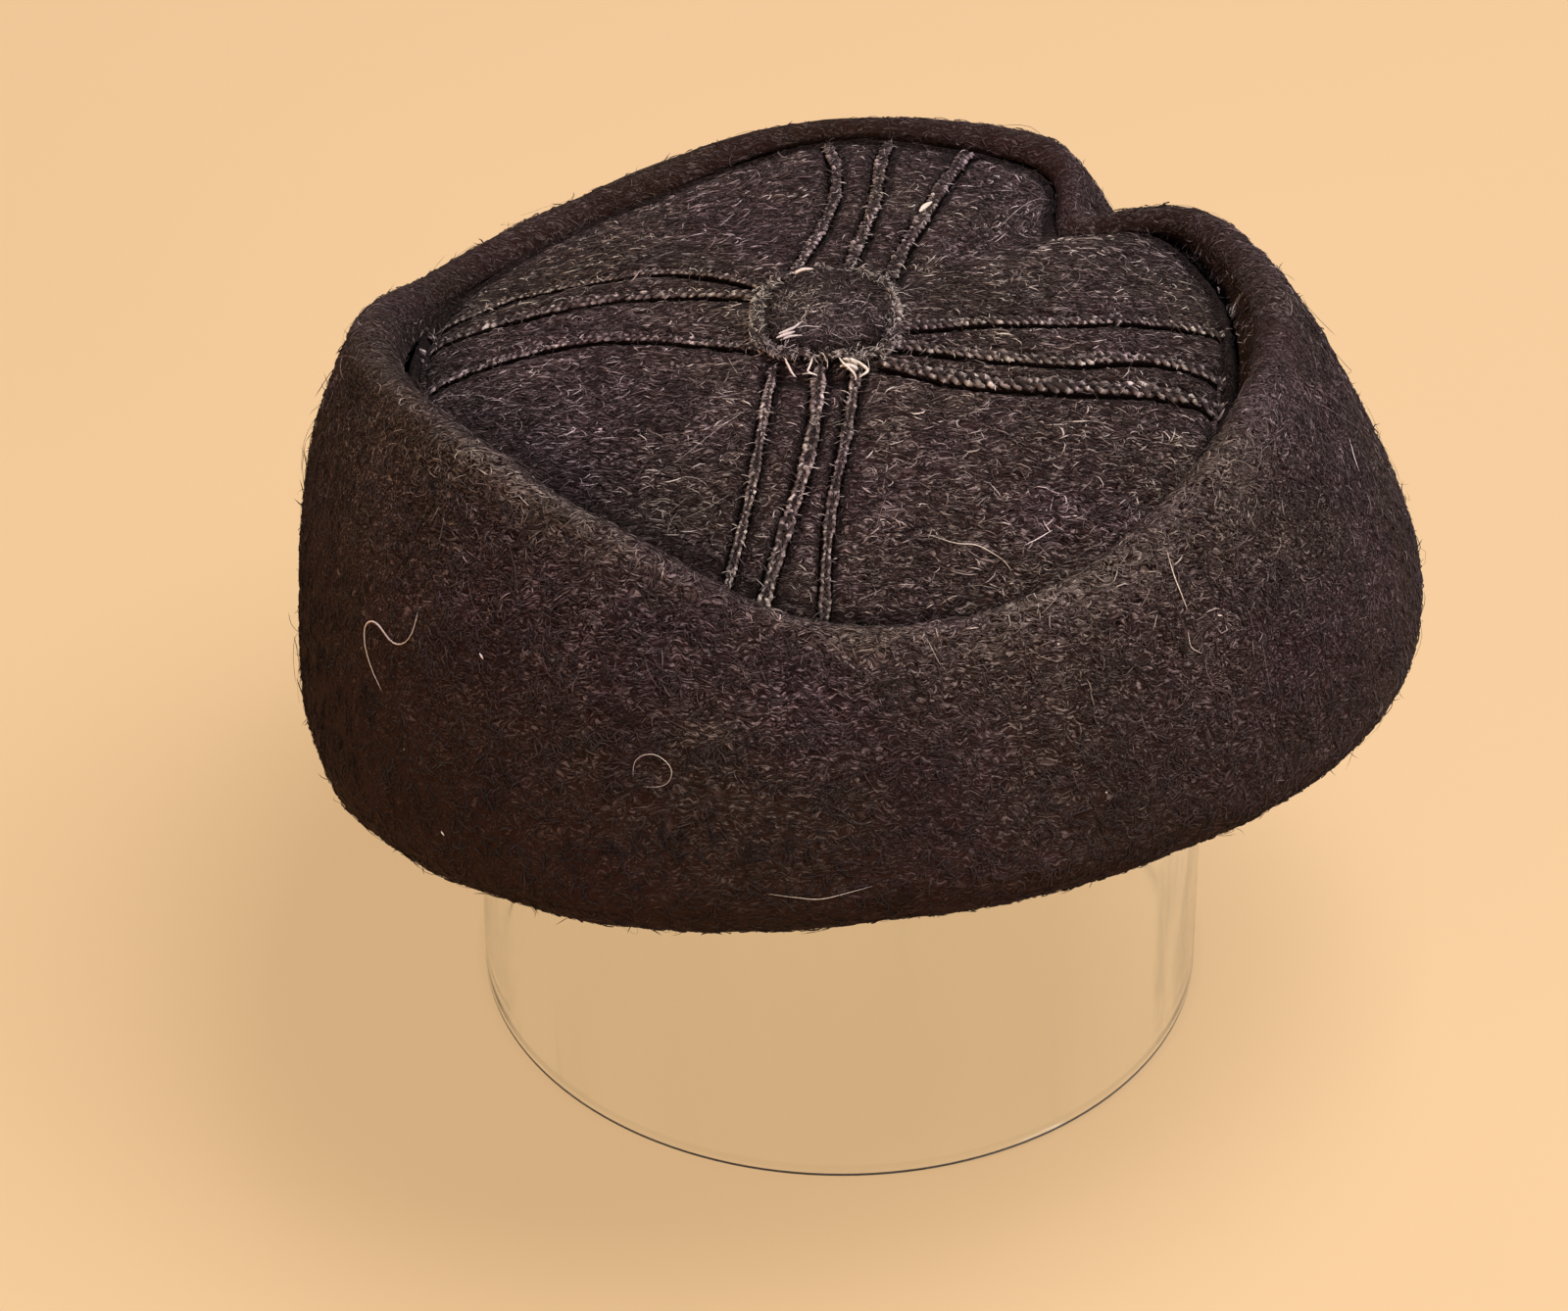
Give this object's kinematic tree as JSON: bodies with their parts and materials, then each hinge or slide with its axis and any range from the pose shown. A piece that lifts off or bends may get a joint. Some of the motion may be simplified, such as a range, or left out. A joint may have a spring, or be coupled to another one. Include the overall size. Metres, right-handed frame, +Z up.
{
  "type": "felt cap on clear cylinder stand",
  "caption": "Low-crowned felt cap with a tall turned-up brim all round, flat braid crossed over its crown and a felt disc at the middle, held up on an open clear tube.",
  "frame": {"origin": "middle of the whole thing's plan box, on the surface that the stand's foot rests on", "axes": "+Z up, -Y towards the viewer, +X to the viewer's right"},
  "size_m": [0.2403, 0.2482, 0.178],
  "materials": {
    "felt": "thick hairy wool felt, worn, brown-black",
    "cord": "narrow braided wool cord, frayed, a little greyer than the felt",
    "clear_acrylic": "clear, polished"
  },
  "bodies": {
    "root": {"felt_cap": "felt", "center_disc": "felt", "disc_ring": "cord", "cord_left_back": "cord", "cord_left_middle": "cord", "cord_left_front": "cord", "cord_right_back": "cord", "cord_right_middle": "cord", "cord_right_front": "cord", "cord_front_left": "cord", "cord_front_middle": "cord", "cord_front_right": "cord", "cord_back_left": "cord", "cord_back_middle": "cord", "cord_back_right": "cord", "display_stand": "clear_acrylic"}
  },
  "joints": []
}
